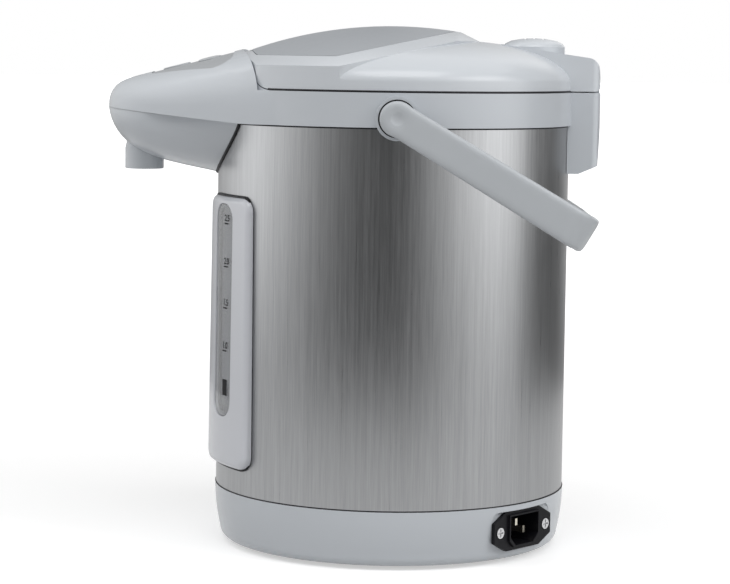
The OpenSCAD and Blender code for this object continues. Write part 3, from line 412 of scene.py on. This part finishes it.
# The print on the lens: ticks with numbers for litres, and a block at the foot.
print_black = moulded("print_black", (0.008, 0.008, 0.01), 0.6)
print_black.node_tree.nodes["Principled BSDF"].inputs["Specular IOR Level"].default_value = 0.1
PRINT_AT, TICK_WIDE, TICK_HALF = WINDOW_AT + 3 * MM, 5 * MM, 0.4 * MM
for litres, height in ((2.5, 184 * MM), (2.0, 160 * MM), (1.5, 137 * MM), (1.0, 113 * MM)):
    tick = plate("scale_tick", TICK_WIDE, height - TICK_HALF, height + TICK_HALF,
                 LENS_FRONT, LENS_FRONT + PRINT_THICK, 0.1 * MM, shift=PRINT_AT)
    placed(wrapped(tick, LEAN), print_black, "pot", "black_trim")
    bpy.ops.object.text_add(rotation=(math.pi / 2, 0, 0),
                            location=(PRINT_AT - TICK_WIDE / 2, LENS_FRONT + 0.04 * MM, height + 1.4 * MM))
    number = bpy.context.object
    number.name = "scale_number"
    number.data.body = "%.1f" % litres
    number.data.size = 5.2 * MM
    number.data.offset = 0.06 * MM
    number.data.extrude = 0.05 * MM
    bpy.ops.object.convert(target="MESH")
    bpy.ops.object.transform_apply(location=True, rotation=True)
    placed(wrapped(number, LEAN), print_black, "pot", "black_trim")
block = plate("scale_block", 5.5 * MM, 88 * MM, 97 * MM, LENS_FRONT, LENS_FRONT + PRINT_THICK, 0.3 * MM,
              shift=PRINT_AT + 1 * MM)
placed(wrapped(block, LEAN), print_black, "pot", "black_trim")
coated("gauge_tube", soft_white)


# ---------------------------------------------------------------- collar, nose and hinge block
# One glossy grey moulding makes the collar, the upper half of the nose, the handle
# bosses and the hinge block. The lower half of the nose clips up against it. A grey bead
# of painted shade marks the fine parting line above it, and a black bead of painted shade
# lies in its joint against the jacket.

dressed("top_housing", body_grey, "pot", "grey_plastic", 0.35 * MM, corner=40)
dressed("nose_lower", body_grey, "pot", "grey_plastic", 0.35 * MM, corner=40)
# The nozzle runs up into the nose on a short tapered neck.
NOZZLE_R, NOZZLE_Y, NECK_Z = 11 * MM, -142.3 * MM, 226.8 * MM
nozzle = carried("nozzle", 0.4 * MM)
bpy.ops.mesh.primitive_cone_add(vertices=64, radius1=NOZZLE_R, radius2=NOZZLE_R - 1.4 * MM, depth=6 * MM,
                                location=(0, NOZZLE_Y, NECK_Z))
nozzle.select_set(True)
bpy.context.view_layer.objects.active = nozzle
bpy.ops.object.join()
smoothed(nozzle)
placed(nozzle, body_grey, "pot", "grey_plastic", "nozzle")


def joint_shade_bead(name, node, along, thick, finish, body, slot):
    """A fine bead of painted shade for a joint, laid on the long runs of sharp edges of a solid that along()
    picks.
    """
    bead = carried(node, 0)
    bead.name = name
    take(bead)
    bpy.ops.object.mode_set(mode="EDIT")
    bpy.ops.mesh.select_mode(type="EDGE")
    bpy.ops.mesh.select_all(action="DESELECT")
    bpy.ops.mesh.edges_select_sharp(sharpness=math.radians(25))
    bpy.ops.object.mode_set(mode="OBJECT")
    mesh = bead.data
    for part in (*mesh.polygons, *mesh.vertices):
        part.select = False
    for edge in mesh.edges:
        edge.select = edge.select and all(along(mesh.vertices[index].co) for index in edge.vertices)
    bpy.ops.object.mode_set(mode="EDIT")
    bpy.ops.mesh.select_all(action="INVERT")
    bpy.ops.mesh.delete(type="EDGE")
    bpy.ops.object.mode_set(mode="OBJECT")
    bpy.ops.object.convert(target="CURVE")
    runs = bead.data.splines

    def run_length(run):
        points = [point.co.to_3d() for point in run.points]
        return sum((b - a).length for a, b in zip(points, points[1:]))

    short = [index for index, run in enumerate(runs) if run_length(run) < 25 * MM]
    for index in reversed(short):
        runs.remove(runs[index])
    bead.data.bevel_depth = thick
    bead.data.bevel_resolution = 2
    bead.data.use_fill_caps = True
    bpy.ops.object.convert(target="MESH")
    smoothed(bead, 60)
    return placed(bead, finish, body, slot)


PARTING_SLOPE, PARTING_FROM, NOSE_TIP = 0.09, 84 * MM, -162.45 * MM


def on_parting(point):
    """True along the rising joint between the two halves of the nose."""
    rise = PARTING_SLOPE * max(0, -point.y - PARTING_FROM)
    return abs(point.z - JACKET_TOP - rise) < 0.2 * MM


def on_jacket(point):
    """True where the lower half of the nose meets the jacket."""
    return abs(math.hypot(point.x, point.y) - JACKET_R) < 0.8 * MM and point.z < JACKET_TOP


# The parting line is a grey bead, darker than the moulding: painted shade in the joint.
parting_shade_grey = moulded("parting_shade_grey", (0.36, 0.38, 0.40), 0.4)
parting = joint_shade_bead("nose_parting_shade", "nose_lower", on_parting, 0.28 * MM, parting_shade_grey, "pot", "grey_plastic")
for vertex in parting.data.vertices:
    vertex.co.y = max(vertex.co.y, NOSE_TIP)
# A black bead in the joint of the nose's lower half and the jacket: painted shade.
joint_shade_bead("nose_joint_shade", "nose_lower", on_jacket, 0.9 * MM, gasket_and_gap_shade_black, "pot", "black_trim")


# ---------------------------------------------------------------- keypad
# A matt film on the crest of the nose, with three sprung keys and two tinted
# lights that come through it from the board below.

film_grey = moulded("film_grey", (0.36, 0.375, 0.39), 0.42, grain=2400)
key_grey = moulded("key_grey", (0.50, 0.52, 0.54), 0.3)
lamp_red = moulded("lamp_red", (0.55, 0.06, 0.03), 0.2)
dressed("control_panel", film_grey, "pot", "panel_film", 0.2 * MM, corner=40)
coated("panel_lights", lamp_red)
for node in ("dispense_button", "reboil_button", "lock_button"):
    dressed(node, key_grey, node, "key_plastic", 0.3 * MM)


# ---------------------------------------------------------------- lid
# The lid is a glossy grey moulding hinged at the back, with the pump's darker crown
# plate let into it. A domed cap over the steam path sits in front of the hinge.

# The lid takes a lighter grey than the collar's moulding of the same plastic: painted light, for the sheen on
# its sides.
lid_grey_with_painted_light = moulded("lid_grey_with_painted_light", (0.61, 0.64, 0.675), 0.2, drift=0.008)
dressed("lid_shell", lid_grey_with_painted_light, "lid", "grey_plastic", 0.4 * MM, segments=3)
dressed("steam_vent", lid_grey_with_painted_light, "lid", "grey_plastic", 0.4 * MM)

# A black bead along the lid's lower edge: painted shade in the gap under the lid.
SEAM_Z, SEAM_R = 259.4 * MM, 100.6 * MM
joint_shade_bead("lid_gap_shade", "lid_shell", lambda point: point.z < SEAM_Z and math.hypot(point.x, point.y) > SEAM_R,
           0.55 * MM, gasket_and_gap_shade_black, "lid", "black_trim")
dressed("release_bar", key_grey, "release", "key_plastic", 0.3 * MM)
crown_grey = moulded("crown_grey", (0.365, 0.385, 0.41), 0.36, drift=0.02)
dressed("press_plate", crown_grey, "press", "crown_plastic", 0.5 * MM, segments=3)

# Under the crown sit the bellows and the spring round it, which close up in the real pot as the crown goes
# down; each gets a mesh of its own.
for node, finish, slot in (("bellows", soft_white, "silicone"), ("pump_spring", screw_steel, "bright_steel")):
    squeezed = dressed(node, finish, "lid", slot, 0)
    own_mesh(squeezed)


# ---------------------------------------------------------------- handle
# A bail in satin grey plastic, moulded in one piece. Its round hubs turn on two
# pins in the collar's bosses, with a shallow dimple in each hub.

HUB_R, HUB_FACE, HUB_OUT, PIVOT_Z = 9.7 * MM, 106.2 * MM, 112 * MM, 245 * MM
handle_grey = moulded("handle_grey", (0.48, 0.505, 0.53), 0.38, grain=1800, drift=0.015)
bail = carried("handle", 0)

# A plug in each hub keeps its thin outer wall whole while the skin is made anew.
PLUG_R, PLUG_DEEP, PLUG_X, QUARTER_TURN = 5 * MM, 3.2 * MM, HUB_FACE + 2 * MM, (0, math.pi / 2, 0)
for side in (1, -1):
    bpy.ops.mesh.primitive_cylinder_add(vertices=32, radius=PLUG_R, depth=PLUG_DEEP,
                                        rotation=QUARTER_TURN, location=(side * PLUG_X, 0, PIVOT_Z))
    bail.select_set(True)
    bpy.context.view_layer.objects.active = bail
    bpy.ops.object.join()
applied(bail, "REMESH", mode="VOXEL", voxel_size=1.1 * MM)
applied(bail, "SMOOTH", factor=0.5, iterations=16)

# The grip across the far end is rounder than the arms.
GRIP_DEPTH = 14 * MM
reach = [math.hypot(vertex.co.y, vertex.co.z - PIVOT_Z) for vertex in bail.data.vertices]
grip = bail.vertex_groups.new(name="grip")
grip.add([index for index, far in enumerate(reach) if far > max(reach) - GRIP_DEPTH], 1.0, "REPLACE")
applied(bail, "SMOOTH", factor=0.5, iterations=30, vertex_group="grip")
DIMPLE_R, DIMPLE_DEEP = 9 * MM, 1.1 * MM
for side in (1, -1):
    bpy.ops.mesh.primitive_uv_sphere_add(segments=48, ring_count=24, radius=DIMPLE_R,
                                         location=(side * (HUB_OUT + DIMPLE_R - DIMPLE_DEEP), 0, PIVOT_Z))
    ball = bpy.context.object
    applied(bail, "BOOLEAN", operation="DIFFERENCE", object=ball, solver="EXACT")
    bpy.data.objects.remove(ball)
smoothed(bail, 40)
placed(bail, handle_grey, "handle", "handle_plastic", "handle")
bail.visible_glossy = False

# A thin black ring behind each hub: painted shade in the gap between the hub and its boss.
for name, side in (("hub_gap_shade_right", 1), ("hub_gap_shade_left", -1)):
    bpy.ops.mesh.primitive_torus_add(major_segments=64, minor_segments=10, major_radius=HUB_R + 0.1 * MM,
                                     minor_radius=0.45 * MM, rotation=QUARTER_TURN,
                                     location=(side * (HUB_FACE - 0.5 * MM), 0, PIVOT_Z))
    hub_shade = bpy.context.object
    hub_shade.name = name
    bpy.ops.object.transform_apply(location=True, rotation=True)
    smoothed(hub_shade, 60)
    placed(hub_shade, gasket_and_gap_shade_black, "pot", "black_trim")


# ---------------------------------------------------------------- studio
# A white floor under soft lamps. A ring of bright and dark boards, seen only in
# gloss, gives the steel its broad upright bands.

PICTURE_WIDTH, SENSOR = 730, 36.0
FOCAL_PIXELS = 2444.0
camera_data = bpy.data.cameras.new("camera")
camera_data.sensor_width = SENSOR
camera_data.lens = FOCAL_PIXELS / PICTURE_WIDTH * SENSOR
camera = bpy.data.objects.new("camera", camera_data)
bpy.context.scene.collection.objects.link(camera)
turn, pan, tilt, roll = math.radians(1.0), math.radians(0.62), math.radians(5.72), math.radians(0.77)
distance, height = 1.400, 0.2825
camera.location = (distance * math.cos(turn), -distance * math.sin(turn), height)
aim = Matrix.Rotation(math.pi / 2 - turn + pan, 4, "Z") @ Matrix.Rotation(math.pi / 2 - tilt, 4, "X")
camera.rotation_euler = (aim @ Matrix.Rotation(roll, 4, "Z")).to_euler()
bpy.context.scene.camera = camera

# The floor turns from a lit surface near the pot to plain white further out. In the
# pot's gloss it shines a little more, and it keeps the pot's shadow.
bpy.ops.mesh.primitive_plane_add(size=40, location=(0, 0, 0))
floor = bpy.context.object
floor.name = "floor"
floor_white, tree, shader, place = material("floor_white", (0.62, 0.62, 0.62), 0.8)
tinted(tree, shader, noise(tree, place, 3), (0.61, 0.61, 0.61), (0.63, 0.63, 0.63))
reach = tree.nodes.new("ShaderNodeVectorMath")
reach.operation = "LENGTH"
tree.links.new(place, reach.inputs[0])
away = tree.nodes.new("ShaderNodeMapRange")
away.inputs["From Min"].default_value = 0.35
away.inputs["From Max"].default_value = 1.6
away.inputs["To Min"].default_value = 0.5
away.inputs["To Max"].default_value = 1.0
tree.links.new(reach.outputs["Value"], away.inputs["Value"])
ray = tree.nodes.new("ShaderNodeLightPath")
seen = tree.nodes.new("ShaderNodeMath")
seen.operation = "MULTIPLY"
tree.links.new(ray.outputs["Is Camera Ray"], seen.inputs[0])
tree.links.new(away.outputs["Result"], seen.inputs[1])
shine = tree.nodes.new("ShaderNodeMath")
shine.operation = "MULTIPLY_ADD"
shine.inputs[1].default_value = 0.42
tree.links.new(ray.outputs["Is Glossy Ray"], shine.inputs[0])
tree.links.new(seen.outputs[0], shine.inputs[2])
shader.inputs["Emission Color"].default_value = (1, 1, 1, 1)
tree.links.new(shine.outputs[0], shader.inputs["Emission Strength"])
floor.data.materials.append(floor_white)

# The room is white where it is seen, in gloss and through glass, and dimmer as a lamp.
world = bpy.data.worlds.new("studio")
bpy.context.scene.world = world
world.use_nodes = True
tree = world.node_tree
background = tree.nodes["Background"]
background.inputs["Color"].default_value = (1, 1, 1, 1)
ray = tree.nodes.new("ShaderNodeLightPath")
seen = tree.nodes.new("ShaderNodeMath")
seen.operation = "MAXIMUM"
tree.links.new(ray.outputs["Is Camera Ray"], seen.inputs[0])
tree.links.new(ray.outputs["Is Glossy Ray"], seen.inputs[1])
through = tree.nodes.new("ShaderNodeMath")
through.operation = "MAXIMUM"
tree.links.new(seen.outputs[0], through.inputs[0])
tree.links.new(ray.outputs["Is Transmission Ray"], through.inputs[1])
level = tree.nodes.new("ShaderNodeMapRange")
level.inputs["To Min"].default_value = 0.34
level.inputs["To Max"].default_value = 1.0
tree.links.new(through.outputs[0], level.inputs["Value"])
tree.links.new(level.outputs["Result"], background.inputs["Strength"])


def soft_lamp(name, place, size, watts):
    """A square area lamp that looks at the middle of the pot."""
    data = bpy.data.lights.new(name, "AREA")
    data.size = size
    data.energy = watts
    lamp = bpy.data.objects.new(name, data)
    lamp.location = place
    lamp.rotation_euler = (Vector((0, 0, 0.15)) - Vector(place)).to_track_quat("-Z", "Y").to_euler()
    bpy.context.scene.collection.objects.link(lamp)


soft_lamp("key_lamp", (1.0, 2.0, 1.7), 1.2, 21)
soft_lamp("fill_lamp", (0.9, -1.8, 1.7), 1.4, 10)
soft_lamp("top_lamp", (1.1, 0.1, 2.2), 1.6, 21)
soft_lamp("strip_lamp", (-0.3, -0.75, 1.5), 0.35, 1)

# The boards: two bright ones at the sides, a weaker one behind and dark flats between
# them. Each pair is a direction in degrees from +X towards the back, and a brightness.
BOARDS = ((-180, 0.2), (-150, 0.5), (-95, 2.2), (-40, 0.45), (-12, 0.1), (8, 0.1), (36, 1.3), (58, 2.4),
          (75, 2.4), (92, 0.15), (128, 0.2), (150, 1.1), (180, 0.2))
bpy.ops.mesh.primitive_cylinder_add(vertices=128, radius=0.62, depth=0.9, end_fill_type="NOTHING",
                                    location=(0, 0, 0.46))
boards = bpy.context.object
boards.name = "reflector_boards"
bpy.ops.object.transform_apply(location=True)
board_grey, tree, shader, place = material("board_grey", (0, 0, 0), 1.0)
axes = tree.nodes.new("ShaderNodeSeparateXYZ")
tree.links.new(place, axes.inputs["Vector"])
angle = tree.nodes.new("ShaderNodeMath")
angle.operation = "ARCTAN2"
tree.links.new(axes.outputs["Y"], angle.inputs[0])
tree.links.new(axes.outputs["X"], angle.inputs[1])
turned = tree.nodes.new("ShaderNodeMapRange")
turned.inputs["From Min"].default_value = -math.pi
turned.inputs["From Max"].default_value = math.pi
tree.links.new(angle.outputs[0], turned.inputs["Value"])
grade = tree.nodes.new("ShaderNodeValToRGB")
while len(grade.color_ramp.elements) < len(BOARDS):
    grade.color_ramp.elements.new(0.5)
for element, (direction, level) in zip(grade.color_ramp.elements, BOARDS):
    element.position = (direction + 180) / 360
    element.color = (level, level, level, 1)
tree.links.new(turned.outputs["Result"], grade.inputs["Fac"])
fall = tree.nodes.new("ShaderNodeMapRange")
fall.inputs["From Min"].default_value = 0.0
fall.inputs["From Max"].default_value = 0.22
fall.inputs["To Min"].default_value = 0.35
fall.inputs["To Max"].default_value = 1.0
tree.links.new(axes.outputs["Z"], fall.inputs["Value"])
tree.links.new(grade.outputs["Color"], shader.inputs["Emission Color"])
tree.links.new(fall.outputs["Result"], shader.inputs["Emission Strength"])
boards.data.materials.append(board_grey)
boards.visible_camera = False
boards.visible_diffuse = False
boards.visible_shadow = False
boards.visible_transmission = False

scene = bpy.context.scene
scene.view_settings.view_transform = "Standard"
